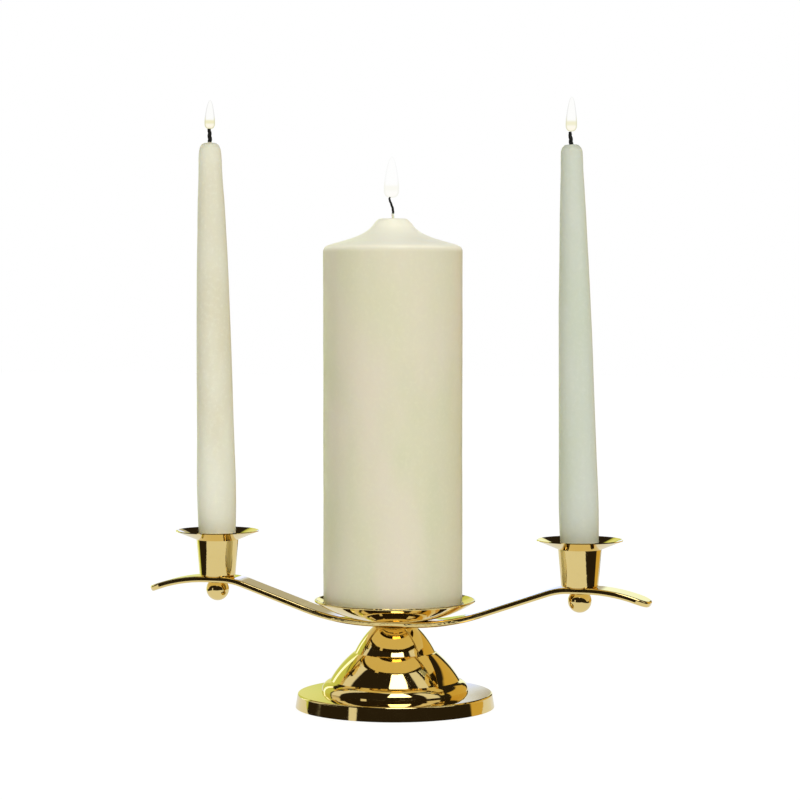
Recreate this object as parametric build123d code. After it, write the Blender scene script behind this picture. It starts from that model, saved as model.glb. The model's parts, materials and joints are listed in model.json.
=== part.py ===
from build123d import *
import math
import os

# Unity candle holder: a stepped bell base, a wavy bar arm, a bowl for one pillar candle and
# a cup at each end for a taper candle.  Millimetres, +Z up, arm along X, origin on the table
# under the middle of the base.

# ---- base ----
base_radius = 54.6
rim_bottom = 0.5
rim_top = 8.2
rim_draft = 1.1
flange_inner_radius = 40.3
flange_inner_height = 8.9
sheet = 1.3
bell_top = 44.85
bell_land_radius = 10.6
plate_thickness = 2.0
felt_thickness = 1.2
disc_gap = 0.25

# ---- arm: a flat bar bent into a wave, described from its centre out to one tip ----
bar_width = 17.6
bar_thickness = 3.3
bar_edge_radius = 1.1
tip_corner_radius = 7.0
centre_flat = 10.0
valley_radius = 125.0
slope_angle = 19.0
crest_rise = 21.4
crest_flat = 4.5
tip_arc_radius = 86.0
tip_angle = 22.9
cup_spacing = 103.3

# ---- pillar pan ----
pan_radius = 43.9
pan_rim_height = 58.3
pan_flat_radius = 10.0
pan_sheet = 1.1

# ---- taper cups ----
cup_bottom_radius = 10.0
cup_top_radius = 11.65
cup_body_height = 20.1
cup_rim_radius = 23.2
cup_height = 25.1
cup_wall = 0.8

# ---- ball nuts and their washers and screws ----
ball_diameter = 12.7
ball_height = 10.3
nut_washer_radius = 4.4
nut_washer_thickness = 0.5
screw_radius = 2.0
screw_reach = 8.0
thread_clearance = 0.05
hole_clearance = 0.25
screw_head_radius = 3.9
screw_head_height = 2.2

# ---- centre bolt ----
bolt_radius = 3.0
bolt_head_radius = 5.6
bolt_head_height = 3.2
bolt_washer_radius = 7.0
bolt_washer_thickness = 1.2
bolt_nut_flats = 10.0
bolt_nut_height = 5.0

# ---- candles ----
taper_visible = {"left": 217.2, "right": 210.9}
taper_butt_radius = 10.95
taper_tip_radius = 5.6
taper_tip_height = 3.2
taper_fit_gap = 0.34
taper_lean = {"left": 0.75, "right": 1.2}
taper_seat_gap = 0.4
taper_wick_radius = 1.15
taper_wick_height = {"left": 8.1, "right": 7.2}
pillar_radius = 38.1
pillar_shoulder = 251.3
pillar_top = 267.8
pillar_crown_radius = 8.2
pillar_offset = -1.2
pillar_seat_gap = 0.25
pillar_wick_radius = 0.75
wick_channel_gap = 0.04

# ---- heights that follow from the sizes above ----
arm_top = bell_top + bar_thickness
crest_height = bell_top + crest_rise
rim_radius = base_radius - rim_draft
felt_radius = rim_radius - sheet - disc_gap


def revolved(profile):
    """Turn a closed outline in the XZ plane once round Z."""
    return revolve(profile, axis=Axis.Z, revolution_arc=360)


def ring(outer, inner, low, high):
    """A flat washer-like ring standing on the height low."""
    body = Cylinder(outer, high - low, align=(Align.CENTER, Align.CENTER, Align.MIN))
    bore = Cylinder(inner, high - low, align=(Align.CENTER, Align.CENTER, Align.MIN))
    return Pos(0, 0, low) * (body - bore)


def disc(radius, low, high):
    """A plain round disc standing on the height low."""
    return Pos(0, 0, low) * Cylinder(radius, high - low, align=(Align.CENTER, Align.CENTER, Align.MIN))


# ---------------------------------------------------------------- base
def bell_line(shift):
    """The bell's skin from its top land to the foot of the rim, moved in and down by shift."""
    def at(radius, height):
        return (radius - shift, height - shift)

    top_tier = ThreePointArc(at(12.4, 43.9), at(17.7, 37.8), at(22.0, 30.5))
    middle_tier = ThreePointArc(at(22.7, 30.2), at(29.7, 23.4), at(35.5, 15.2))
    lower_tier = ThreePointArc(at(36.3, 14.8), at(39.2, 12.6), at(40.3, 10.1))
    land_edge = ThreePointArc(at(bell_land_radius, bell_top), at(11.6, 44.6), at(12.4, 43.9))
    first_step = Line(at(22.0, 30.5), at(22.7, 30.2))
    second_step = Line(at(35.5, 15.2), at(36.3, 14.8))
    lower_wall = Line(at(40.3, 10.1), at(flange_inner_radius, flange_inner_height))
    flange = Line(at(flange_inner_radius, flange_inner_height), at(rim_radius - 1.0, rim_top))
    rim_corner = ThreePointArc(
        at(rim_radius - 1.0, rim_top), at(rim_radius - 0.28, rim_top - 0.32), at(rim_radius, rim_top - 1.0)
    )
    return [
        land_edge, top_tier, first_step, middle_tier, second_step, lower_tier, lower_wall, flange, rim_corner
    ]


def make_base_shell():
    """The spun brass bell: three stacked domes over a flat flange with an upright rim."""
    bolt_hole = bolt_radius + hole_clearance
    outer = bell_line(0)
    inner = bell_line(sheet)
    edges = outer + inner + [
        Line((bolt_hole, bell_top), (bell_land_radius, bell_top)),
        Line((rim_radius, rim_top - 1.0), (base_radius, rim_bottom)),
        Line((base_radius, rim_bottom), (base_radius - sheet, rim_bottom)),
        Line((base_radius - sheet, rim_bottom), (rim_radius - sheet, rim_top - 1.0 - sheet)),
        Line((bell_land_radius - sheet, bell_top - sheet), (bolt_hole, bell_top - sheet)),
        Line((bolt_hole, bell_top - sheet), (bolt_hole, bell_top)),
    ]
    return revolved(Plane.XZ * make_face(Curve(edges)))


def make_felt_pad():
    """The felt under the base, which stands on the table."""
    return disc(felt_radius, 0, felt_thickness)


def make_base_plate():
    """The fibreboard disc that closes the bell and carries the felt."""
    return disc(felt_radius, felt_thickness, felt_thickness + plate_thickness)


# ---------------------------------------------------------------- arm
def slope_and_crest():
    """Length of the straight slope and radius of the crest that reach the cup's place exactly."""
    cosine = math.cos(math.radians(slope_angle))
    sine = math.sin(math.radians(slope_angle))
    run = cup_spacing - crest_flat - centre_flat - valley_radius * sine
    rise = crest_rise - valley_radius * (1 - cosine)
    share = cosine * (1 - cosine) - sine * sine
    length = (run * (1 - cosine) - rise * sine) / share
    radius = (cosine * rise - sine * run) / share
    return length, radius


def arm_half_line(lift):
    """One half of the wave, centre to tip, on the bar's underside or lifted off it by lift."""
    slope_length, crest_radius = slope_and_crest()
    line = [Line((0, bell_top + lift), (centre_flat, bell_top + lift))]
    line.append(JernArc(line[-1] @ 1, (1, 0), valley_radius - lift, slope_angle))
    line.append(PolarLine(line[-1] @ 1, slope_length, slope_angle))
    line.append(JernArc(line[-1] @ 1, line[-1] % 1, crest_radius + lift, -slope_angle))
    line.append(Line(line[-1] @ 1, (cup_spacing + crest_flat, crest_height + lift)))
    line.append(JernArc(line[-1] @ 1, (1, 0), tip_arc_radius + lift, -tip_angle))
    return line


def make_arm():
    """The flat bar with its bolt holes, tips rounded in plan and all long edges rounded."""
    under = arm_half_line(0)
    upper = arm_half_line(bar_thickness)
    ends = [Line(under[-1] @ 1, upper[-1] @ 1), Line(under[0] @ 0, upper[0] @ 0)]
    side_view = make_face(Curve(under + upper + ends).edges())
    bar = extrude(Plane.XZ * side_view, amount=bar_width / 2, both=True)
    bar += bar.mirror(Plane.YZ)
    bar = fillet(bar.edges().filter_by(edge_is_tip_corner), tip_corner_radius)
    bar = fillet(bar.edges().filter_by(edge_is_rim), bar_edge_radius)
    bar -= Pos(0, 0, bell_top) * Cylinder(bolt_radius + hole_clearance, 20)
    for side in (-1, 1):
        bar -= Pos(side * cup_spacing, 0, crest_height) * Cylinder(screw_radius + hole_clearance, 20)
    return bar


def edge_is_tip_corner(edge):
    """True for the four short edges through the bar's thickness at its two tips."""
    outside = abs((edge @ 0.5).X) > cup_spacing + tip_arc_radius * math.sin(math.radians(tip_angle)) * 0.9
    return outside and edge.length < 1.2 * bar_thickness and abs(edge.tangent_at(0.5).Y) < 0.1


def edge_is_rim(edge):
    """True for the edges that run round the bar's top and bottom faces."""
    across_middle = abs((edge @ 0.5).X) < 0.01 and abs(edge.tangent_at(0.5).Y) > 0.9
    upright = edge.length < 1.5 * bar_thickness and abs(edge.tangent_at(0.5).Z) > 0.5
    return not across_middle and not upright


# ---------------------------------------------------------------- pan
def pan_arc_radius():
    """Radius of the bowl's outer skin, which starts flat at pan_flat_radius and ends at the rim."""
    run = pan_radius - pan_flat_radius
    rise = pan_rim_height - arm_top
    return (run * run + rise * rise) / (2 * rise)


def make_pan():
    """A shallow round bowl with a rounded lip and a flat seat bolted to the arm."""
    outer = pan_arc_radius()
    inner = outer - pan_sheet
    turn = math.degrees(math.asin((pan_radius - pan_flat_radius) / outer))
    hole = bolt_radius + hole_clearance
    skin = JernArc((pan_flat_radius, arm_top), (1, 0), outer, turn)
    lining = JernArc((pan_flat_radius, arm_top + pan_sheet), (1, 0), inner, turn)
    seat = Line((hole, arm_top), (pan_flat_radius, arm_top))
    floor = Line((hole, arm_top + pan_sheet), (pan_flat_radius, arm_top + pan_sheet))
    bore = Line((hole, arm_top), (hole, arm_top + pan_sheet))
    lip_middle = (skin @ 1 + lining @ 1) * 0.5 + (skin % 1) * (pan_sheet / 2)
    lip = ThreePointArc(skin @ 1, lip_middle, lining @ 1)
    return revolved(Plane.XZ * make_face([skin, lining, seat, floor, bore, lip]))


def pan_inner_height(radius):
    """Height of the bowl's inside at a radius on its curved wall."""
    inner = pan_arc_radius() - pan_sheet
    run = radius - pan_flat_radius
    return arm_top + pan_arc_radius() - math.sqrt(inner * inner - run * run)


# ---------------------------------------------------------------- cups, screws and nuts
def make_cup(side):
    """A tapered socket with a wide thin drip flange, standing on the crest of the arm."""
    foot = crest_height + bar_thickness
    hole = screw_radius + hole_clearance
    shoulder = foot + cup_body_height
    rim = foot + cup_height
    outline = Polyline(
        (hole, foot),
        (cup_bottom_radius - 0.6, foot),
        (cup_bottom_radius, foot + 0.6),
        (cup_top_radius, shoulder),
        (cup_rim_radius, rim - 0.25),
        (cup_rim_radius, rim + 0.15),
        (cup_rim_radius - 0.5, rim + 0.3),
        (cup_top_radius - 0.35, shoulder + cup_wall),
        (cup_top_radius - cup_wall, shoulder + 0.2),
        (cup_bottom_radius - cup_wall, foot + cup_wall),
        (hole, foot + cup_wall),
        close=True,
    )
    return Pos(side * cup_spacing, 0, 0) * revolved(Plane.XZ * make_face(outline))


def domed_head(radius, height, low):
    """A low round screw head with a cross slot, sitting on the height low."""
    outline = make_face([
        Line((0, low), (radius, low)),
        Line((radius, low), (radius, low + height * 0.35)),
        ThreePointArc((radius, low + height * 0.35), (radius * 0.72, low + height * 0.86), (0, low + height)),
        Line((0, low + height), (0, low)),
    ])
    head = revolved(Plane.XZ * outline)
    slot_depth = height * 0.45
    for angle in (0, 90):
        head -= Pos(0, 0, low + height) * Rot(0, 0, angle) * Box(radius * 1.1, radius * 0.22, 2 * slot_depth)
    return head


def make_cup_screw(side):
    """The screw from the cup's floor, through the arm, into the ball nut."""
    floor = crest_height + bar_thickness + cup_wall
    end = crest_height - nut_washer_thickness - screw_reach
    screw = domed_head(screw_head_radius, screw_head_height, floor)
    screw += disc(screw_radius, end, floor)
    return Pos(side * cup_spacing, 0, 0) * screw


def make_nut_washer(side):
    """The thin washer between the arm and the ball nut."""
    top = crest_height
    washer = ring(nut_washer_radius, screw_radius + hole_clearance, top - nut_washer_thickness, top)
    return Pos(side * cup_spacing, 0, 0) * washer


def make_ball_nut(side):
    """A ball with a flat top face and a blind threaded hole."""
    top = crest_height - nut_washer_thickness
    centre = top - (ball_height - ball_diameter / 2)
    ball = Pos(0, 0, centre) * Sphere(ball_diameter / 2)
    ball -= Pos(0, 0, top) * Box(40, 40, 20, align=(Align.CENTER, Align.CENTER, Align.MIN))
    ball -= disc(screw_radius + thread_clearance, top - screw_reach - 0.3, top)
    return Pos(side * cup_spacing, 0, 0) * ball


def make_centre_bolt():
    """The bolt from the pan's floor, through the arm and the bell, to a nut inside the base."""
    floor = arm_top + pan_sheet
    end = bell_top - sheet - bolt_washer_thickness - bolt_nut_height - 2.5
    return domed_head(bolt_head_radius, bolt_head_height, floor) + disc(bolt_radius, end, floor)


def make_centre_washer():
    """The washer under the bell's top."""
    top = bell_top - sheet
    return ring(bolt_washer_radius, bolt_radius + hole_clearance, top - bolt_washer_thickness, top)


def make_centre_nut():
    """The hexagon nut inside the base, screwed up the bolt."""
    top = bell_top - sheet - bolt_washer_thickness
    hexagon = extrude(RegularPolygon(bolt_nut_flats / 2, 6, major_radius=False), amount=bolt_nut_height)
    nut = Pos(0, 0, top - bolt_nut_height) * hexagon
    return nut - disc(bolt_radius + thread_clearance, top - bolt_nut_height, top)


# ---------------------------------------------------------------- candles
def taper_bottom():
    """Height of the taper's foot, just above the screw head in the cup."""
    return crest_height + bar_thickness + cup_wall + screw_head_height + taper_seat_gap


def taper_top(name):
    """Height of the wax at the tip of the taper."""
    return crest_height + bar_thickness + cup_height + taper_visible[name]


def cup_inner_radius(height):
    """Radius of the cup's socket at a height."""
    rise = (height - crest_height - bar_thickness) / cup_body_height
    return cup_bottom_radius - cup_wall + rise * (cup_top_radius - cup_bottom_radius)


def stand_in_cup(solid, name, side):
    """Moves a piece made on the Z axis into its cup, leaning a little towards the left."""
    middle = crest_height + bar_thickness + cup_body_height / 2
    lean = Pos(0, 0, middle) * Rot(0, -taper_lean[name], 0) * Pos(0, 0, -middle)
    return Pos(side * cup_spacing, 0, 0) * lean * solid


def make_taper(name, side):
    """A slim dipped candle: moulded butt in the cup, long slow taper, rounded burned tip."""
    low = taper_bottom()
    top = taper_top(name)
    lip = crest_height + bar_thickness + cup_body_height
    channel = taper_wick_radius + wick_channel_gap
    shoulder = (taper_tip_radius, top - taper_tip_height)
    body = Spline(
        (taper_butt_radius, lip + 7.0),
        (10.2, top - 170.0),
        (9.35, top - 120.0),
        (8.0, top - 70.0),
        (6.6, top - 32.0),
        shoulder,
        tangents=[(0, 1), (-0.12, 1)],
    )
    outline = make_face([
        Line((channel, low), (cup_inner_radius(low) - taper_fit_gap, low)),
        Line((cup_inner_radius(low) - taper_fit_gap, low), (cup_inner_radius(lip) - taper_fit_gap, lip)),
        Line((cup_inner_radius(lip) - taper_fit_gap, lip), (taper_butt_radius, lip + 7.0)),
        body,
        ThreePointArc(shoulder, (taper_tip_radius - 1.35, top - 0.95), (channel + 0.6, top)),
        Line((channel + 0.6, top), (channel, top - 0.3)),
        Line((channel, top - 0.3), (channel, low)),
    ])
    return stand_in_cup(revolved(Plane.XZ * outline), name, side)


def bent_wick(radius, low, rise, bends):
    """A wick: straight up from low by rise, then bends given as (radius, angle) pairs."""
    line = [Line((0, low), (0, low + rise))]
    for bend_radius, angle in bends:
        line.append(JernArc(line[-1] @ 1, line[-1] % 1, bend_radius, angle))
    path = Plane.XZ * Wire(line)
    return sweep(Plane.XY.offset(low) * Circle(radius), path=path)


def make_taper_wick(name, side):
    """The braided wick, which runs the whole length of the taper."""
    low = taper_bottom()
    straight = taper_top(name) + 1.5 - low
    lean = 14 if side > 0 else 5
    bend = (taper_wick_height[name] - 1.5) / math.radians(lean)
    wick = bent_wick(taper_wick_radius, low, straight, [(bend, lean)])
    return stand_in_cup(wick, name, side)


def pillar_bottom():
    """Height of the pillar's foot, which stands a little off the bowl's centre."""
    return pan_inner_height(pillar_radius + abs(pillar_offset)) + pillar_seat_gap


def make_pillar():
    """A straight pillar whose top rises in a hollow cone to a small flat crown."""
    low = pillar_bottom()
    channel = pillar_wick_radius + wick_channel_gap
    crown = (pillar_crown_radius, pillar_top - 0.7)
    shoulder = (pillar_radius - 2.2, pillar_shoulder + 2.0)
    cone = Spline(
        shoulder,
        (25.8, pillar_top - 11.3),
        (16.6, pillar_top - 7.7),
        (11.6, pillar_top - 4.1),
        crown,
        tangents=[(-1, 0.22), (-0.35, 1)],
    )
    outline = make_face([
        Line((channel, low), (pillar_radius - 1.0, low)),
        ThreePointArc((pillar_radius - 1.0, low), (pillar_radius - 0.3, low + 0.3), (pillar_radius, low + 1.0)),
        Line((pillar_radius, low + 1.0), (pillar_radius, pillar_shoulder - 0.6)),
        ThreePointArc((pillar_radius, pillar_shoulder - 0.6), (pillar_radius - 0.6, pillar_shoulder + 1.1), shoulder),
        cone,
        ThreePointArc(crown, (pillar_crown_radius - 0.45, pillar_top - 0.12), (pillar_crown_radius - 1.3, pillar_top)),
        ThreePointArc((pillar_crown_radius - 1.3, pillar_top), (4.2, pillar_top - 0.75), (channel, pillar_top - 1.0)),
        Line((channel, pillar_top - 1.0), (channel, low)),
    ])
    return Pos(pillar_offset, 0, 0) * revolved(Plane.XZ * outline)


def make_pillar_wick():
    """The pillar's wick, curled to one side with a small hook at its end."""
    low = pillar_bottom()
    straight = pillar_top + 2.0 - low
    wick = bent_wick(pillar_wick_radius, low, straight, [(14.0, 22), (9.0, -12), (3.2, -40)])
    return Pos(pillar_offset, 0, 0) * wick


def build_nodes():
    """Every separate piece by name."""
    nodes = {
        "base_shell": make_base_shell(),
        "base_plate": make_base_plate(),
        "felt_pad": make_felt_pad(),
        "arm_bar": make_arm(),
        "pillar_pan": make_pan(),
        "center_bolt": make_centre_bolt(),
        "center_washer": make_centre_washer(),
        "center_nut": make_centre_nut(),
        "pillar_candle": make_pillar(),
        "pillar_wick": make_pillar_wick(),
    }
    for name, side in (("left", -1), ("right", 1)):
        nodes[name + "_cup"] = make_cup(side)
        nodes[name + "_cup_screw"] = make_cup_screw(side)
        nodes[name + "_nut_washer"] = make_nut_washer(side)
        nodes[name + "_ball_nut"] = make_ball_nut(side)
        nodes[name + "_taper"] = make_taper(name, side)
        nodes[name + "_taper_wick"] = make_taper_wick(name, side)
    return nodes


os.makedirs("parts", exist_ok=True)
for node, solid in build_nodes().items():
    export_step(solid, "parts/" + node + ".step")
    print(node, round(solid.volume, 1))
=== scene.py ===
import bpy
import json
import math
from mathutils import Matrix, Vector, noise


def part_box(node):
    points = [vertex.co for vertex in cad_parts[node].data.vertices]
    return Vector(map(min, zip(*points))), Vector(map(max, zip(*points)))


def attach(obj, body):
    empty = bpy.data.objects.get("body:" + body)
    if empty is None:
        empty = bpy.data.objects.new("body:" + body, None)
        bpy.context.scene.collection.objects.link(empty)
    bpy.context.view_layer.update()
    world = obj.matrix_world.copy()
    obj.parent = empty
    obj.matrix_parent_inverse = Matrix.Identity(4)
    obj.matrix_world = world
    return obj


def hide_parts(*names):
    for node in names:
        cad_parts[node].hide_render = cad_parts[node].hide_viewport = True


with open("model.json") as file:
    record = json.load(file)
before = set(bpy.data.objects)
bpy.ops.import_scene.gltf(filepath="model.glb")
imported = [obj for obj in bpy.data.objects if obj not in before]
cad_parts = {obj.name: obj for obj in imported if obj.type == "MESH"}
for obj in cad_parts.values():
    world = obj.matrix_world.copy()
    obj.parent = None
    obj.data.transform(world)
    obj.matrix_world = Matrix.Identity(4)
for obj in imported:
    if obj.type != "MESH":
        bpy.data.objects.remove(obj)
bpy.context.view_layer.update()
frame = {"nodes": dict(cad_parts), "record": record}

MM = 0.001

# ---- camera: below the pillar's shoulder, in front and a little to the right ----
CAMERA_AZIMUTH = 16.0
CAMERA_DISTANCE = 1.3732
CAMERA_HEIGHT = 0.222
AIM_HEIGHT = 0.1688
AIM_RIGHT = 0.00275
LENS = 113.0

# ---- studio, as the polished brass sees it: degrees round from the camera and above the level ----
DARK_ROOM = (0.022, 0.016, 0.010)
WINDOW_LIGHT = (3.6, 3.5, 3.3)
CEILING = (0.80, 0.79, 0.76)
LEFT_CARD = (0.62, 0.70, 0.17)
RIGHT_CARD = (0.66, 0.45, 0.10)
PALE_STRIP = (1.5, 1.6, 1.5)
YELLOW_WALL = (0.80, 0.84, 0.34)
PALE_YELLOW = (1.02, 1.12, 0.85)
GREY_WALL = (0.50, 0.48, 0.38)
BACKDROP = (1.00, 1.16, 1.90)
TABLE_GLOW = (0.80, 0.80, 0.76)

# each patch: left, right, low, high, softness, colour; a patch covers those above it in the list
STUDIO_PATCHES = (
    (-13, 30, 38, 76, 1.5, WINDOW_LIGHT),
    (-55, -45, -8, 12, 1.0, CEILING),
    (52, 76, 13, 66, 1.5, CEILING),
    (-118, -97, 4, 66, 2.0, CEILING),
    (-400, -122, -40, 28, 2.0, LEFT_CARD),
    (-150, -143, -40, 28, 1.5, PALE_STRIP),
    (-177.5, -166, -40, 24, 1.0, YELLOW_WALL),
    (99, 156, -40, 30, 2.0, RIGHT_CARD),
    (166, 177.5, -60, 22, 1.0, PALE_YELLOW),
    (173.8, 177.2, -60, 22, 0.4, GREY_WALL),
    (177.5, 400, -60, 16, 1.0, BACKDROP),
)

# ---- studio, as everything but polished brass sees it ----
WHITE = (1.0, 1.0, 1.0)
SOFT_WHITE = (0.95, 0.95, 0.96)
DIM_SIDES = (0.14, 0.14, 0.06)
FLOOR_GLOW = 0.92
FLOOR_SHADE = 0.16
KEY_POWER = 11.0

# ---- metals, board and felt ----
BRASS_LIGHT = (0.885, 0.705, 0.320)
BRASS_DEEP = (0.850, 0.655, 0.255)
BRASS_AGED = (0.70, 0.50, 0.17)
ZINC_DARK = (0.56, 0.57, 0.58)
ZINC_LIGHT = (0.70, 0.69, 0.66)
FELT_DARK = (0.012, 0.050, 0.024)
FELT_LIGHT = (0.060, 0.190, 0.095)
BOARD_DARK = (0.19, 0.12, 0.07)
BOARD_LIGHT = (0.42, 0.30, 0.19)

# ---- waxes, wicks and flames ----
IVORY = (0.665, 0.640, 0.455)
IVORY_WARM = (0.700, 0.640, 0.500)
IVORY_GREEN = (0.600, 0.610, 0.400)
CREAM = (0.765, 0.758, 0.625)
CREAM_WARM = (0.700, 0.665, 0.505)
SAGE = (0.560, 0.600, 0.480)
CREAM_COOL = (0.590, 0.615, 0.530)
SOOT = (0.010, 0.010, 0.009)
ASH = (0.075, 0.070, 0.060)
COTTON_DARK = (0.74, 0.70, 0.50)
COTTON_LIGHT = (0.86, 0.83, 0.68)
FLAME_FOOT = (1.0, 0.93, 0.74)
FLAME_BODY = (0.985, 0.985, 0.965)
FLAME_YELLOW = (0.870, 0.835, 0.560)
FLAME_EDGE_LOW = (0.700, 0.680, 0.430)
FLAME_EDGE_HIGH = (0.790, 0.790, 0.770)

# ---- shapes of the candles, in millimetres ----
CUP_MIDDLE = 10.05            # half the height of a cup's body
PILLAR_CUT = 20.5             # the straight side is this much shorter than the pillar
PILLAR_CROWN = (              # radius, height over the top
    (37.95, -17.2), (37.3, -15.7), (35.6, -14.6), (32.3, -13.5), (27.2, -12.1), (21.3, -10.2),
    (16.1, -7.9), (12.3, -5.1), (10.2, -2.6), (8.7, -1.0), (7.4, -0.15), (6.2, 0.0), (3.5, -0.5),
    (0.9, -1.0),
)
PILLAR_WICK = (               # sideways, height over the top
    (0.0, -2.0), (0.1, 0.0), (0.0, 2.2), (0.15, 4.2), (-0.35, 6.4), (-1.1, 8.4), (-1.7, 9.9),
    (-1.95, 11.0), (-1.6, 11.8),
)
LEFT_TIP = (                  # depth under the top, radius
    (1.6, 0.9), (1.0, 2.0), (1.1, 3.3), (2.0, 4.7), (3.8, 5.7), (6.2, 6.15), (9.5, 6.4), (14, 6.5),
    (22, 6.75), (36, 7.6), (57, 8.3), (71, 8.7), (102, 9.35), (135, 9.95), (168, 10.45), (194, 10.8),
)
RIGHT_TIP = (                 # depth under the top, radius
    (-0.1, 0.9), (-0.8, 2.2), (-0.8, 3.4), (0.2, 4.6), (1.9, 5.6), (4.5, 5.9), (8.5, 6.0), (14, 6.1),
    (22, 6.4), (36, 6.95), (57, 7.7), (71, 8.15), (102, 8.95), (135, 9.6), (168, 10.1), (194, 10.7),
)
FLAME_OUTLINE = (             # share of half the width, share of the height
    (0.03, 0.0), (0.60, 0.025), (0.92, 0.10), (1.0, 0.22), (0.91, 0.46), (0.68, 0.71), (0.46, 0.87),
    (0.25, 0.96), (0.03, 1.0),
)
FLAME_SWAY = 0.3
WICK_RADIUS = {"pillar": 0.72, "taper": 1.22}
WICK_STEPS = 14

# flames: the foot's place from the wick's end, width, height and how much of the light is the flame's own
PILLAR_FLAME = {"foot": (0.8, 0, -0.5), "width": 8.4, "height": 22.5, "veil": 0.14}
LEFT_FLAME = {"foot": (0.4, 0, -1.3), "width": 5.8, "height": 16.0, "veil": 0.95}
RIGHT_FLAME = {"foot": (0.8, 0, 0.1), "width": 6.1, "height": 18.6, "veil": 0.58}

# bow, rise, lean and sway are in millimetres, to the right where positive; seed picks the wax's ripples
TAPERS = (
    {"side": "left", "tip": LEFT_TIP, "bow": -0.9, "seed": 11.3, "tints": (CREAM, CREAM_WARM),
     "wick": {"rise": 8.1, "lean": -0.25, "sway": 0.10}, "flame": LEFT_FLAME},
    {"side": "right", "tip": RIGHT_TIP, "bow": -0.4, "seed": 23.9, "tints": (CREAM_COOL, SAGE),
     "wick": {"rise": 7.8, "lean": -0.75, "sway": 0.0}, "flame": RIGHT_FLAME},
)


# ---------------------------------------------------------------- camera
def look_from_front():
    """A long lens a little below the pillar's shoulder, with the arm's right end nearer."""
    turn = math.radians(CAMERA_AZIMUTH)
    back = Vector((math.sin(turn), -math.cos(turn), 0))
    right = Vector((math.cos(turn), math.sin(turn), 0))
    place = back * CAMERA_DISTANCE + Vector((0, 0, CAMERA_HEIGHT))
    target = right * AIM_RIGHT + Vector((0, 0, AIM_HEIGHT))
    data = bpy.data.cameras.new("camera")
    data.lens = LENS
    data.sensor_width = 36.0
    camera = bpy.data.objects.new("camera", data)
    bpy.context.scene.collection.objects.link(camera)
    camera.location = place
    camera.rotation_mode = "QUATERNION"
    camera.rotation_quaternion = (target - place).to_track_quat("-Z", "Y")
    bpy.context.scene.camera = camera


# ---------------------------------------------------------------- node helpers
class Nodes:
    """Adds nodes to one node tree and links them by socket."""

    def __init__(self, tree):
        self.tree = tree

    def add(self, kind, **settings):
        node = self.tree.nodes.new(kind)
        for name, value in settings.items():
            setattr(node, name, value)
        return node

    def feed(self, socket, value):
        """Links a socket, or sets it to a plain value."""
        if isinstance(value, bpy.types.NodeSocket):
            self.tree.links.new(value, socket)
        elif isinstance(value, tuple) and len(value) == 3 and socket.type == "RGBA":
            socket.default_value = (*value, 1.0)
        else:
            socket.default_value = value

    def math(self, operation, first, second=0.0):
        node = self.add("ShaderNodeMath", operation=operation)
        self.feed(node.inputs[0], first)
        self.feed(node.inputs[1], second)
        return node.outputs[0]

    def step(self, value, low, high, start=0.0, end=1.0):
        """Rises smoothly from start to end while value goes from low to high."""
        node = self.add("ShaderNodeMapRange", interpolation_type="SMOOTHSTEP")
        self.feed(node.inputs["Value"], value)
        node.inputs["From Min"].default_value = low
        node.inputs["From Max"].default_value = high
        node.inputs["To Min"].default_value = start
        node.inputs["To Max"].default_value = end
        return node.outputs["Result"]

    def band(self, value, low, high, soft):
        """1 between low and high, 0 outside, with soft edges."""
        rising = self.step(value, low - soft, low + soft)
        falling = self.step(value, high - soft, high + soft, 1.0, 0.0)
        return self.math("MULTIPLY", rising, falling)

    def mix(self, share, first, second):
        node = self.add("ShaderNodeMix", data_type="RGBA")
        self.feed(node.inputs["Factor"], share)
        self.feed(node.inputs["A"], first)
        self.feed(node.inputs["B"], second)
        return node.outputs["Result"]

    def place(self):
        """Where a point is on the object, in metres, before anything moves."""
        return self.add("ShaderNodeTexCoord").outputs["Object"]

    def shifted(self, vector, offset=(0, 0, 0), scale=(1, 1, 1)):
        node = self.add("ShaderNodeMapping")
        self.feed(node.inputs["Vector"], vector)
        node.inputs["Location"].default_value = offset
        node.inputs["Scale"].default_value = scale
        return node.outputs["Vector"]

    def parts(self, vector):
        node = self.add("ShaderNodeSeparateXYZ")
        self.feed(node.inputs[0], vector)
        return node.outputs

    def join(self, x, y, z):
        node = self.add("ShaderNodeCombineXYZ")
        for socket, value in zip(node.inputs, (x, y, z)):
            self.feed(socket, value)
        return node.outputs[0]

    def noise(self, vector, size, detail=3.0, roughness=0.5):
        """Noise whose features are about size metres across."""
        node = self.add("ShaderNodeTexNoise")
        self.feed(node.inputs["Vector"], vector)
        node.inputs["Scale"].default_value = 1.0 / size
        node.inputs["Detail"].default_value = detail
        node.inputs["Roughness"].default_value = roughness
        return node.outputs["Fac"]

    def bump(self, height, depth, normal=None):
        """A bump whose full range is depth metres deep."""
        node = self.add("ShaderNodeBump")
        node.inputs["Strength"].default_value = 1.0
        node.inputs["Distance"].default_value = depth
        self.feed(node.inputs["Height"], height)
        if normal is not None:
            self.feed(node.inputs["Normal"], normal)
        return node.outputs["Normal"]


def new_material(name, **constants):
    """A material with its Principled shader; constants go straight on the shader's sockets."""
    material = bpy.data.materials.new(name)
    material.use_nodes = True
    nodes = Nodes(material.node_tree)
    shader = material.node_tree.nodes["Principled BSDF"]
    for socket, value in constants.items():
        nodes.feed(shader.inputs[socket.replace("_", " ")], value)
    return material, nodes, shader


# ---------------------------------------------------------------- metals
def spun_lines(nodes, spot, axis_x):
    """Noise that runs in rings round an upright axis, as spinning and buffing leave it."""
    x, y, z = nodes.parts(nodes.shifted(spot, offset=(-axis_x, 0, 0)))
    squares = nodes.math("ADD", nodes.math("MULTIPLY", x, x), nodes.math("MULTIPLY", y, y))
    across = nodes.math("SQRT", squares)
    turn = nodes.math("ARCTAN2", y, x)
    rings = nodes.join(across, nodes.math("MULTIPLY", turn, 0.004), z)
    return nodes.noise(rings, 0.00035, detail=2.0)


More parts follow.
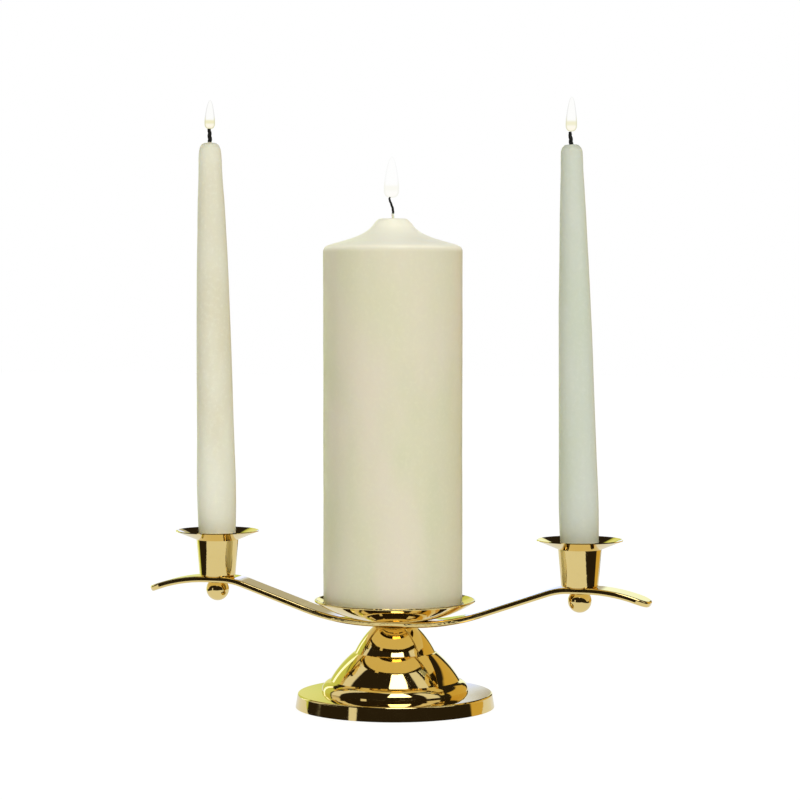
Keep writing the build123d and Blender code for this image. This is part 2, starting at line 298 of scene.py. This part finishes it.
def drawn_lines(nodes, spot):
    """Noise that runs lengthwise along the arm, as a drawn and buffed bar has it."""
    return nodes.noise(nodes.shifted(spot, scale=(0.03, 1, 1)), 0.0004, detail=2.0)


def polished_brass(name, axis_x=None):
    """Buffed, lacquered brass: warm tone patches, smudges, hairlines and a thin clear coat."""
    material, nodes, shader = new_material(
        name, Metallic=1.0, Coat_Weight=0.25, Coat_Roughness=0.02, Coat_IOR=1.45
    )
    spot = nodes.place()
    tone = nodes.noise(spot, 0.030, detail=4.0)
    stains = nodes.noise(nodes.shifted(spot, offset=(0.3, 0.1, 0.2)), 0.006, detail=5.0)
    tarnish = nodes.step(stains, 0.58, 0.80)
    brass = nodes.mix(tone, BRASS_LIGHT, BRASS_DEEP)
    aged = nodes.mix(nodes.math("MULTIPLY", tarnish, 0.25), brass, BRASS_AGED)
    nodes.feed(shader.inputs["Base Color"], aged)
    lines = drawn_lines(nodes, spot) if axis_x is None else spun_lines(nodes, spot, axis_x)
    smudge = nodes.noise(nodes.shifted(spot, offset=(0.7, 0.2, 0.5)), 0.012, detail=3.0)
    smudged = nodes.step(smudge, 0.40, 0.75, 0.025, 0.085)
    scratched = nodes.step(lines, 0.55, 0.85, 0.0, 0.07)
    nodes.feed(shader.inputs["Roughness"], nodes.math("ADD", smudged, scratched))
    buffed = nodes.bump(lines, 0.0000010)
    soft = nodes.bump(nodes.noise(spot, 0.005, detail=3.0), 0.000022, buffed)
    nodes.feed(shader.inputs["Normal"], soft)
    return material


def zinc_steel():
    """Zinc plate with its blue-grey crystalline patches."""
    material, nodes, shader = new_material("zinc_steel", Metallic=1.0)
    spot = nodes.place()
    grains = nodes.noise(spot, 0.0012, detail=4.0)
    nodes.feed(shader.inputs["Base Color"], nodes.mix(grains, ZINC_DARK, ZINC_LIGHT))
    nodes.feed(shader.inputs["Roughness"], nodes.step(grains, 0.3, 0.7, 0.24, 0.40))
    nodes.feed(shader.inputs["Normal"], nodes.bump(nodes.noise(spot, 0.0004), 0.00001))
    return material


# ---------------------------------------------------------------- base underside
def green_felt():
    """Matted wool fibres with a soft sheen."""
    material, nodes, shader = new_material(
        "green_felt", Roughness=0.95, Sheen_Weight=0.6, Sheen_Roughness=0.5
    )
    spot = nodes.place()
    combed = nodes.shifted(spot, scale=(1.0, 0.25, 1.0))
    fibres = nodes.noise(combed, 0.0007, detail=5.0, roughness=0.7)
    clumps = nodes.noise(spot, 0.005, detail=3.0)
    shade = nodes.math("MULTIPLY", nodes.math("ADD", fibres, clumps), 0.5)
    nodes.feed(shader.inputs["Base Color"], nodes.mix(shade, FELT_DARK, FELT_LIGHT))
    nodes.feed(shader.inputs["Normal"], nodes.bump(fibres, 0.00025))
    return material


def fibreboard():
    """Pressed brown board with long darker fibres."""
    material, nodes, shader = new_material("fibreboard", Roughness=0.85)
    spot = nodes.place()
    pressed = nodes.shifted(spot, scale=(0.2, 1.0, 1.0))
    fibres = nodes.noise(pressed, 0.0009, detail=5.0, roughness=0.65)
    nodes.feed(shader.inputs["Base Color"], nodes.mix(fibres, BOARD_DARK, BOARD_LIGHT))
    nodes.feed(shader.inputs["Normal"], nodes.bump(fibres, 0.00012))
    return material


# ---------------------------------------------------------------- waxes, wicks and flames
def candle_wax(name, tints, painted_light_from, painted_light_to, glow):
    """Translucent wax: drifting tints, a fine mottle, a dull bloom and a top painted paler as painted
    flame light.

    tints are the main colour and the two that drift in it. Painted light pales the top from
    painted_light_from up to painted_light_to, and where glow isn't 0 a painted glow there stands in for
    the flame's light showing through the wax."""
    main, second, third = tints
    material, nodes, shader = new_material(
        name, Subsurface_Weight=0.45, Subsurface_Radius=(1.0, 0.8, 0.5), Subsurface_Scale=0.004,
        IOR=1.44, Specular_IOR_Level=0.5, Coat_Weight=0.12, Coat_Roughness=0.25
    )
    spot = nodes.place()
    drift = nodes.noise(nodes.shifted(spot, scale=(1.0, 1.0, 0.35)), 0.030, detail=2.0)
    tinted = nodes.mix(nodes.step(drift, 0.35, 0.70), main, second)
    elsewhere = nodes.shifted(spot, offset=(0.4, 0.9, 0.1), scale=(1.0, 1.0, 0.35))
    other_drift = nodes.noise(elsewhere, 0.026, detail=2.0)
    tinted = nodes.mix(nodes.step(other_drift, 0.50, 0.80, 0.0, 0.6), tinted, third)
    mottle = nodes.noise(spot, 0.0022, detail=5.0, roughness=0.6)
    # pale is both the mottle's lighter tone and the colour of the painted flame light at the top
    pale = tuple(min(1.0, channel * 1.07 + 0.02) for channel in main)
    tinted = nodes.mix(nodes.step(mottle, 0.45, 0.75, 0.0, 0.35), tinted, pale)
    height = nodes.parts(spot)[2]
    # painted light: the top is painted paler, towards pale, where the flame would light it
    lit = nodes.step(height, painted_light_from, painted_light_to, 0.0, 0.5)
    nodes.feed(shader.inputs["Base Color"], nodes.mix(lit, tinted, pale))
    # painted glow: emission in the top stands in for the flame's light shining through the wax
    if glow:
        nodes.feed(shader.inputs["Emission Color"], WHITE)
        nodes.feed(shader.inputs["Emission Strength"], nodes.step(height, painted_light_from, painted_light_to, 0.0, glow))
    bloom = nodes.noise(spot, 0.009, detail=4.0)
    nodes.feed(shader.inputs["Roughness"], nodes.step(bloom, 0.35, 0.70, 0.30, 0.52))
    ripples = nodes.bump(nodes.noise(spot, 0.0045, detail=2.0), 0.00006)
    nodes.feed(shader.inputs["Normal"], nodes.bump(mottle, 0.000015, ripples))
    return material


def charred_cotton():
    """Burned braid: soot black with grey ash flecks."""
    material, nodes, shader = new_material("charred_cotton", Roughness=0.9)
    spot = nodes.place()
    ash = nodes.step(nodes.noise(spot, 0.0004, detail=4.0), 0.58, 0.80)
    nodes.feed(shader.inputs["Base Color"], nodes.mix(ash, SOOT, ASH))
    nodes.feed(shader.inputs["Normal"], nodes.bump(nodes.noise(spot, 0.0003, detail=4.0), 0.0001))
    return material


def waxed_cotton():
    """The foot of a wick, soaked in wax and not burned."""
    material, nodes, shader = new_material(
        "waxed_cotton", Roughness=0.45, Subsurface_Weight=0.3, Subsurface_Scale=0.001
    )
    spot = nodes.place()
    threads = nodes.noise(spot, 0.0005, detail=3.0)
    nodes.feed(shader.inputs["Base Color"], nodes.mix(threads, COTTON_DARK, COTTON_LIGHT))
    nodes.feed(shader.inputs["Normal"], nodes.bump(threads, 0.00005))
    return material


def flame_glow(name, foot, height, veil):
    """A thin glowing veil: near white, with a yellow zone low down and a greyer edge.

    foot and height are in metres; veil is how much of the light is the flame's own."""
    material = bpy.data.materials.new(name)
    material.use_nodes = True
    nodes = Nodes(material.node_tree)
    material.node_tree.nodes.remove(material.node_tree.nodes["Principled BSDF"])
    level = nodes.parts(nodes.place())[2]
    body = nodes.mix(nodes.step(level, foot, foot + 0.35 * height), FLAME_FOOT, FLAME_BODY)
    yellow = nodes.band(level, foot + 0.17 * height, foot + 0.30 * height, 0.045 * height)
    body = nodes.mix(yellow, body, FLAME_YELLOW)
    rising = nodes.step(level, foot + 0.25 * height, foot + 0.50 * height)
    edge = nodes.mix(rising, FLAME_EDGE_LOW, FLAME_EDGE_HIGH)
    facing = nodes.add("ShaderNodeLayerWeight")
    facing.inputs["Blend"].default_value = 0.35
    glow = nodes.add("ShaderNodeEmission")
    outline = nodes.step(facing.outputs["Facing"], 0.16, 0.48)
    nodes.feed(glow.inputs["Color"], nodes.mix(outline, body, edge))
    clear = nodes.add("ShaderNodeBsdfTransparent")
    both = nodes.add("ShaderNodeMixShader")
    both.inputs[0].default_value = veil
    nodes.feed(both.inputs[1], clear.outputs[0])
    nodes.feed(both.inputs[2], glow.outputs[0])
    nodes.feed(material.node_tree.nodes["Material Output"].inputs["Surface"], both.outputs[0])
    return material


# ---------------------------------------------------------------- mesh helpers
def add_mesh(name, points, faces, materials, choose=None):
    """A smooth-shaded mesh object; choose picks a material number from a face's middle."""
    mesh = bpy.data.meshes.new(name)
    mesh.from_pydata(points, [], faces)
    mesh.update()
    for material in materials:
        mesh.materials.append(material)
    for face in mesh.polygons:
        face.use_smooth = True
        if choose:
            face.material_index = choose(face.center)
    piece = bpy.data.objects.new(name, mesh)
    bpy.context.scene.collection.objects.link(piece)
    return piece


def smooth_curve(points, steps):
    """A Catmull-Rom curve through the points, with steps divisions between each pair."""
    padded = [2 * points[0] - points[1]] + points + [2 * points[-1] - points[-2]]
    curve = []
    for before, start, end, after in zip(padded, padded[1:], padded[2:], padded[3:]):
        for index in range(steps):
            t = index / steps
            curve.append(0.5 * (
                2 * start + (end - before) * t
                + (2 * before - 5 * start + 4 * end - after) * t ** 2
                + (3 * start - before - 3 * end + after) * t ** 3
            ))
    curve.append(points[-1])
    return curve


def spin(outline, sides, wobble):
    """Points and faces of an outline of (radius, height) turned round Z; both ends meet the axis.

    wobble(angle, radius, height) gives how far a point moves outwards."""
    points = []
    for radius, height in outline:
        for index in range(sides):
            angle = 2 * math.pi * index / sides
            reach = radius + wobble(angle, radius, height)
            points.append(Vector((reach * math.cos(angle), reach * math.sin(angle), height)))
    faces = []
    for row in range(len(outline) - 1):
        for index in range(sides):
            following = (index + 1) % sides
            faces.append((
                row * sides + index, row * sides + following,
                (row + 1) * sides + following, (row + 1) * sides + index,
            ))
    faces.append(tuple(reversed(range(sides))))
    last = (len(outline) - 1) * sides
    faces.append(tuple(last + index for index in range(sides)))
    return points, faces


def wax_wobble(seed, broad, fine):
    """Slow swells and small ripples of a wax surface, in metres; dies out near the axis."""
    def wobble(angle, radius, height):
        around = Vector((math.cos(angle) * 1.2, math.sin(angle) * 1.2, height * 28 + seed))
        close = Vector((math.cos(angle) * 5.0, math.sin(angle) * 5.0, height * 130 + seed))
        fade = min(1.0, radius / (4 * MM))
        return fade * (broad * noise.noise(around) + fine * noise.noise(close))
    return wobble


def strand(path, thickness, twist_radius, phase, turns, sides=10):
    """One round strand wound about a path, as points and faces with closed ends."""
    centres = []
    for index, spot in enumerate(path):
        share = index / (len(path) - 1)
        angle = phase + turns * 2 * math.pi * share
        taper = 1.0 - 0.35 * share ** 3
        centres.append(spot + twist_radius * taper * Vector((math.cos(angle), math.sin(angle), 0)))
    points, faces = [], []
    for index, centre in enumerate(centres):
        share = index / (len(centres) - 1)
        ahead = centres[min(index + 1, len(centres) - 1)] - centres[max(index - 1, 0)]
        turn = ahead.to_track_quat("Z", "Y")
        girth = thickness * (1.0 - 0.35 * share ** 3) * (1 + 0.18 * noise.noise(centre * 1800))
        for side in range(sides):
            angle = 2 * math.pi * side / sides
            points.append(centre + turn @ (girth * Vector((math.cos(angle), math.sin(angle), 0))))
    for row in range(len(centres) - 1):
        for side in range(sides):
            following = (side + 1) % sides
            faces.append((row * sides + side, row * sides + following,
                          (row + 1) * sides + following, (row + 1) * sides + side))
    faces.append(tuple(reversed(range(sides))))
    faces.append(tuple((len(centres) - 1) * sides + side for side in range(sides)))
    return points, faces


def braided_wick(name, path, radius, turns, materials, waxed_below):
    """Three strands wound together along a path; faces under waxed_below keep the waxed look."""
    points, faces = [], []
    for number in range(3):
        more, rings = strand(path, radius * 0.56, radius * 0.50, 2 * math.pi * number / 3, turns)
        faces += [tuple(corner + len(points) for corner in ring) for ring in rings]
        points += more

    def charred_or_waxed(middle):
        return 1 if middle.z < waxed_below + 0.4 * MM * noise.noise(middle * 2500) else 0

    return add_mesh(name, points, faces, materials, charred_or_waxed)


# ---------------------------------------------------------------- candles
def taper_stand(name):
    """The matrix from an upright taper, seen from the middle of its cup, to where it leans.

    Also its foot and top heights from there and its radius."""
    joints = {joint["name"]: joint for joint in frame["record"]["behaviour"]["joints"]}
    lean = math.asin(joints[name + "_lift"]["axis"][0])
    cup_low, cup_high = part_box(name.replace("taper", "cup"))
    middle = Vector(((cup_low[0] + cup_high[0]) / 2, 0, cup_low[2] + CUP_MIDDLE * MM))
    low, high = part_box(name)
    radius = (high[1] - low[1]) / 2
    foot = low[2] - middle.z + radius * abs(math.sin(lean))
    stand = Matrix.Translation(middle) @ Matrix.Rotation(lean, 4, "Y")
    return stand, foot, high[2] - middle.z, radius


def bowed(point, top, bow):
    """A point of a taper that bows sideways, by bow at its top and not at all under the cup's middle."""
    share = max(0.0, point.z) / top
    return point + Vector((bow * share ** 2, 0, 0))


def make_taper(name, tip, bow, wobble, material):
    """A dipped taper: its butt narrows into the cup, and tip gives the rest of its outline."""
    matrix, foot, top, radius = taper_stand(name)
    spots = [
        Vector((0.3 * MM, foot)),
        Vector((radius - 2.05 * MM, foot)),
        Vector((radius - 1.95 * MM, foot + 2 * MM)),
        Vector((radius - 0.80 * MM, 8.5 * MM)),
    ]
    spots += [Vector((wide * MM, top - depth * MM)) for depth, wide in reversed(tip)]
    points, faces = spin(smooth_curve(spots, 8), 96, wobble)
    placed = [matrix @ bowed(point, top, bow) for point in points]
    piece = add_mesh(name + "_wax", placed, faces, [material])
    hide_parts(name)
    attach(piece, name)
    return matrix, top


def make_taper_wick(name, matrix, top, bow, wick, materials):
    """A short thick burned wick that leans a little as it rises; gives back where it ends."""
    buried = 2.5
    path = []
    for step in range(WICK_STEPS + 1):
        share = step / WICK_STEPS
        aside = wick["lean"] * MM * share ** 1.6 + wick["sway"] * MM * math.sin(share * math.pi)
        height = top - buried * MM + (wick["rise"] + buried) * MM * step / WICK_STEPS
        path.append(matrix @ bowed(Vector((aside, 0, height)), top, bow))
    waxed_below = path[0].z + 2 * MM
    curve = smooth_curve(path, 3)
    radius = WICK_RADIUS["taper"] * MM
    piece = braided_wick(name + "_wick_braid", curve, radius, 1.1, materials, waxed_below)
    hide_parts(name + "_wick")
    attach(piece, name)
    return path[-1]


def pillar_stand():
    """The matrix from a pillar with its foot at the origin to its place in the bowl.

    Also its radius and height."""
    low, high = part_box("pillar_candle")
    stand = Matrix.Translation(((low[0] + high[0]) / 2, 0, low[2]))
    return stand, (high[0] - low[0]) / 2, high[2] - low[2]


def make_pillar(material):
    """The pillar: upright side, rounded shoulder, hollow-sided cone and a small dished crown."""
    matrix, radius, height = pillar_stand()
    spots = [
        Vector((0.3 * MM, 0.3 * MM)),
        Vector((radius - 2.5 * MM, 0.1 * MM)),
        Vector((radius - 0.5 * MM, 0.4 * MM)),
    ]
    for share in range(13):
        spots.append(Vector((radius, 2 * MM + share / 12 * (height - PILLAR_CUT * MM))))
    spots += [Vector((wide * MM, height + drop * MM)) for wide, drop in PILLAR_CROWN]
    points, faces = spin(smooth_curve(spots, 7), 144, wax_wobble(3.1, 0.16 * MM, 0.05 * MM))
    piece = add_mesh("pillar_wax", [matrix @ point for point in points], faces, [material])
    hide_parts("pillar_candle")
    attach(piece, "pillar")
    return matrix, height


def make_pillar_wick(matrix, height, materials):
    """The thin pillar wick: waxed foot, then burned, curling left with a small hook at its end."""
    path = [matrix @ Vector((aside * MM, 0, height + rise * MM)) for aside, rise in PILLAR_WICK]
    waxed_below = (matrix @ Vector((0, 0, height + 2.8 * MM))).z
    curve = smooth_curve(path, 5)
    radius = WICK_RADIUS["pillar"] * MM
    piece = braided_wick("pillar_wick_braid", curve, radius, 2.2, materials, waxed_below)
    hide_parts("pillar_wick")
    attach(piece, "pillar")
    return path[-1]


def make_flame(name, body, wick_end, flame):
    """A slender flame over the wick's end: round below, widest low down, then narrowing to its tip."""
    foot = wick_end + Vector(flame["foot"]) * MM
    width, height = flame["width"] * MM, flame["height"] * MM
    corners = [Vector((wide * width / 2, share * height)) for wide, share in FLAME_OUTLINE]
    points, faces = spin(smooth_curve(corners, 6), 40, wax_wobble(7.7, 0.06 * MM, 0.0))
    sway = FLAME_SWAY * MM
    placed = [foot + point + Vector((sway * (point.z / height) ** 2, 0, 0)) for point in points]
    piece = add_mesh(name, placed, faces, [flame_glow(name + "_glow", foot.z, height, flame["veil"])])
    piece.visible_shadow = False
    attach(piece, body)


# ---------------------------------------------------------------- studio
def studio_seen_by_brass(nodes, around, above):
    """The colours a mirror would find in each direction: dark room, window, ceiling and cards."""
    colour = nodes.mix(nodes.step(above, 73.5, 78.5), DARK_ROOM, CEILING)
    for left, right, low, high, soft, light in STUDIO_PATCHES:
        beside = nodes.band(around, left, right, soft)
        patch = nodes.math("MULTIPLY", beside, nodes.band(above, low, high, soft))
        colour = nodes.mix(patch, colour, light)
    return colour


def make_world():
    """White all round for the eye and the wax, a dark studio with lit cards for the brass."""
    world = bpy.data.worlds.new("studio")
    bpy.context.scene.world = world
    world.use_nodes = True
    nodes = Nodes(world.node_tree)
    turned = nodes.add("ShaderNodeVectorRotate", rotation_type="Z_AXIS")
    nodes.feed(turned.inputs["Vector"], nodes.add("ShaderNodeTexCoord").outputs["Generated"])
    turned.inputs["Angle"].default_value = math.radians(-CAMERA_AZIMUTH)
    x, y, z = nodes.parts(turned.outputs[0])
    around = nodes.math("DEGREES", nodes.math("ARCTAN2", x, nodes.math("MULTIPLY", y, -1.0)))
    above = nodes.math("DEGREES", nodes.math("ARCSINE", z))
    left_dim = nodes.band(around, -126, -30, 14)
    right_dim = nodes.math("MULTIPLY", nodes.band(around, 46, 130, 18), 0.72)
    dimmed = nodes.math("ADD", left_dim, right_dim)
    soft_white = nodes.mix(dimmed, SOFT_WHITE, DIM_SIDES)
    rays = nodes.add("ShaderNodeLightPath")
    mirrored = studio_seen_by_brass(nodes, around, above)
    unseen = nodes.mix(rays.outputs["Is Glossy Ray"], soft_white, mirrored)
    seen = nodes.mix(rays.outputs["Is Camera Ray"], unseen, WHITE)
    background = world.node_tree.nodes["Background"]
    nodes.feed(background.inputs["Color"], seen)
    background.inputs["Strength"].default_value = 1.0


def add_stage_plane(name, low, high, height, material):
    """A level rectangle that isn't part of the object."""
    corners = [
        Vector((low[0], low[1], height)),
        Vector((high[0], low[1], height)),
        Vector((high[0], high[1], height)),
        Vector((low[0], high[1], height)),
    ]
    plane = add_mesh(name, corners, [(0, 1, 2, 3)], [material])
    return plane


def glowing(name, colour, strength, shade_share):
    """A lit surface that still takes a faint shadow."""
    material = bpy.data.materials.new(name)
    material.use_nodes = True
    shader = material.node_tree.nodes["Principled BSDF"]
    shader.inputs["Base Color"].default_value = (shade_share, shade_share, shade_share, 1)
    shader.inputs["Roughness"].default_value = 1.0
    shader.inputs["Specular IOR Level"].default_value = 0.0
    shader.inputs["Emission Color"].default_value = (*colour, 1)
    shader.inputs["Emission Strength"].default_value = strength
    return material


def make_floor():
    """A white floor for the eye, and under the holder the warm table that the brass reflects."""
    floor_paint = glowing("floor_white", WHITE, FLOOR_GLOW, FLOOR_SHADE)
    floor = add_stage_plane("floor", (-6, -6), (6, 6), 0.0, floor_paint)
    floor.visible_glossy = False
    table_paint = glowing("table_white", TABLE_GLOW, 1.0, 0.0)
    table = add_stage_plane("table", (-0.36, -0.37), (0.33, 0.60), -0.1 * MM, table_paint)
    table.visible_camera = False
    table.visible_diffuse = False
    table.visible_shadow = False


def add_softbox(name, place, target, size, power):
    """A square soft light that shapes the wax and doesn't show in the brass."""
    data = bpy.data.lights.new(name, "AREA")
    data.shape = "RECTANGLE"
    data.size, data.size_y = size
    data.energy = power
    light = bpy.data.objects.new(name, data)
    bpy.context.scene.collection.objects.link(light)
    light.location = place
    light.rotation_mode = "QUATERNION"
    light.rotation_quaternion = (Vector(target) - Vector(place)).to_track_quat("-Z", "Y")
    light.visible_glossy = False


# ---------------------------------------------------------------- assembly
def dress(node, material):
    """Gives a CAD node its material."""
    slots = frame["nodes"][node].data.materials
    slots.clear()
    slots.append(material)


def dress_metal():
    """Brass on the holder's shown pieces, zinc on its fixings, board and felt underneath."""
    spun = polished_brass("brass_spun", 0.0)
    for node in ("base_shell", "pillar_pan"):
        dress(node, spun)
    dress("arm_bar", polished_brass("brass_bar"))
    for side in ("left", "right"):
        low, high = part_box(side + "_cup")
        turned = polished_brass("brass_" + side, (low[0] + high[0]) / 2)
        for node in ("_cup", "_nut_washer", "_ball_nut"):
            dress(side + node, turned)
    zinc = zinc_steel()
    for node in ("center_bolt", "center_washer", "center_nut", "left_cup_screw", "right_cup_screw"):
        dress(node, zinc)
    dress("base_plate", fibreboard())
    dress("felt_pad", green_felt())


def make_candles():
    """Wax, wicks and flames."""
    wick_looks = [charred_cotton(), waxed_cotton()]
    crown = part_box("pillar_candle")[1][2]
    ivory = (IVORY, IVORY_WARM, IVORY_GREEN)
    # the pillar's top is painted paler as painted flame light from 19 to 14.5 mm under its crown, with a
    # painted glow of 0.30
    wax = candle_wax("pillar_ivory", ivory, crown - 19 * MM, crown - 14.5 * MM, 0.30)
    matrix, height = make_pillar(wax)
    wick_end = make_pillar_wick(matrix, height, wick_looks)
    make_flame("pillar_flame", "pillar", wick_end, PILLAR_FLAME)
    for taper in TAPERS:
        name = taper["side"] + "_taper"
        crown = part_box(name)[1][2]
        main, second = taper["tints"]
        # each taper's tip is painted paler as painted flame light from 6 mm under to 6 mm over its crown,
        # with no painted glow
        wax = candle_wax(name + "_cream", (main, second, main), crown - 6 * MM, crown + 6 * MM, 0.0)
        bow = taper["bow"] * MM
        wobble = wax_wobble(taper["seed"], 0.18 * MM, 0.05 * MM)
        matrix, top = make_taper(name, taper["tip"], bow, wobble, wax)
        wick_end = make_taper_wick(name, matrix, top, bow, taper["wick"], wick_looks)
        make_flame(taper["side"] + "_flame", name, wick_end, taper["flame"])


look_from_front()
make_world()
make_floor()
add_softbox("key", (0.62, -1.7, 0.8), (0, 0, 0.17), (0.8, 0.8), KEY_POWER)
dress_metal()
make_candles()
bpy.context.scene.view_settings.view_transform = "Standard"
